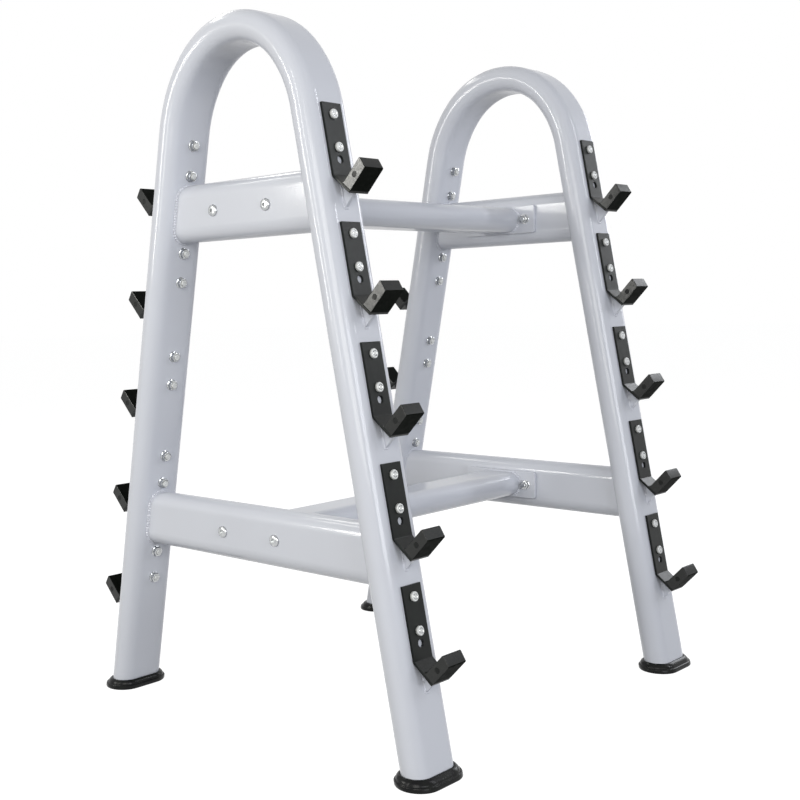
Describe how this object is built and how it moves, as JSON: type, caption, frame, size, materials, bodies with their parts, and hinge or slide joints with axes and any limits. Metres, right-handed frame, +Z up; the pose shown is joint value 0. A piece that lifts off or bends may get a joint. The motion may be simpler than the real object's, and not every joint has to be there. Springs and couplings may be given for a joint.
{
  "type": "barbell storage rack",
  "caption": "Free-standing A-shaped rack of arched flat-oval tube frames with rows of padded hooks that hold straight barbells on both sides.",
  "frame": {"origin": "on the floor, under the middle of the rack", "axes": "+Z up, +X along the stored bars from the left frame to the right frame, -Y towards the front legs"},
  "size_m": [1.004, 0.9576, 1.3815],
  "materials": {
    "frame_paint": "glossy silver-grey powder coat",
    "hook_black": "satin black",
    "zinc": "bright zinc plate",
    "foot_rubber": "matt black"
  },
  "bodies": {
    "root": {"arch_left": "frame_paint", "crossbar_left_upper": "frame_paint", "crossbar_left_lower": "frame_paint", "end_plate_left_upper": "frame_paint", "tie_bolt_left_upper_front": "zinc", "tie_nut_left_upper_front": "zinc", "tie_bolt_left_upper_back": "zinc", "tie_nut_left_upper_back": "zinc", "end_plate_left_lower": "frame_paint", "tie_bolt_left_lower_front": "zinc", "tie_nut_left_lower_front": "zinc", "tie_bolt_left_lower_back": "zinc", "tie_nut_left_lower_back": "zinc", "foot_left_front": "foot_rubber", "hook_left_front_1": "hook_black", "hook_left_front_2": "hook_black", "hook_left_front_3": "hook_black", "hook_left_front_4": "hook_black", "hook_left_front_5": "hook_black", "foot_left_back": "foot_rubber", "hook_left_back_1": "hook_black", "hook_left_back_2": "hook_black", "hook_left_back_3": "hook_black", "hook_left_back_4": "hook_black", "hook_left_back_5": "hook_black", "arch_right": "frame_paint", "crossbar_right_upper": "frame_paint", "crossbar_right_lower": "frame_paint", "end_plate_right_upper": "frame_paint", "tie_bolt_right_upper_front": "zinc", "tie_nut_right_upper_front": "zinc", "tie_bolt_right_upper_back": "zinc", "tie_nut_right_upper_back": "zinc", "end_plate_right_lower": "frame_paint", "tie_bolt_right_lower_front": "zinc", "tie_nut_right_lower_front": "zinc", "tie_bolt_right_lower_back": "zinc", "tie_nut_right_lower_back": "zinc", "foot_right_front": "foot_rubber", "hook_right_front_1": "hook_black", "hook_right_front_2": "hook_black", "hook_right_front_3": "hook_black", "hook_right_front_4": "hook_black", "hook_right_front_5": "hook_black", "foot_right_back": "foot_rubber", "hook_right_back_1": "hook_black", "hook_right_back_2": "hook_black", "hook_right_back_3": "hook_black", "hook_right_back_4": "hook_black", "hook_right_back_5": "hook_black", "tie_tube_upper": "frame_paint", "tie_tube_lower": "frame_paint"}
  },
  "joints": []
}
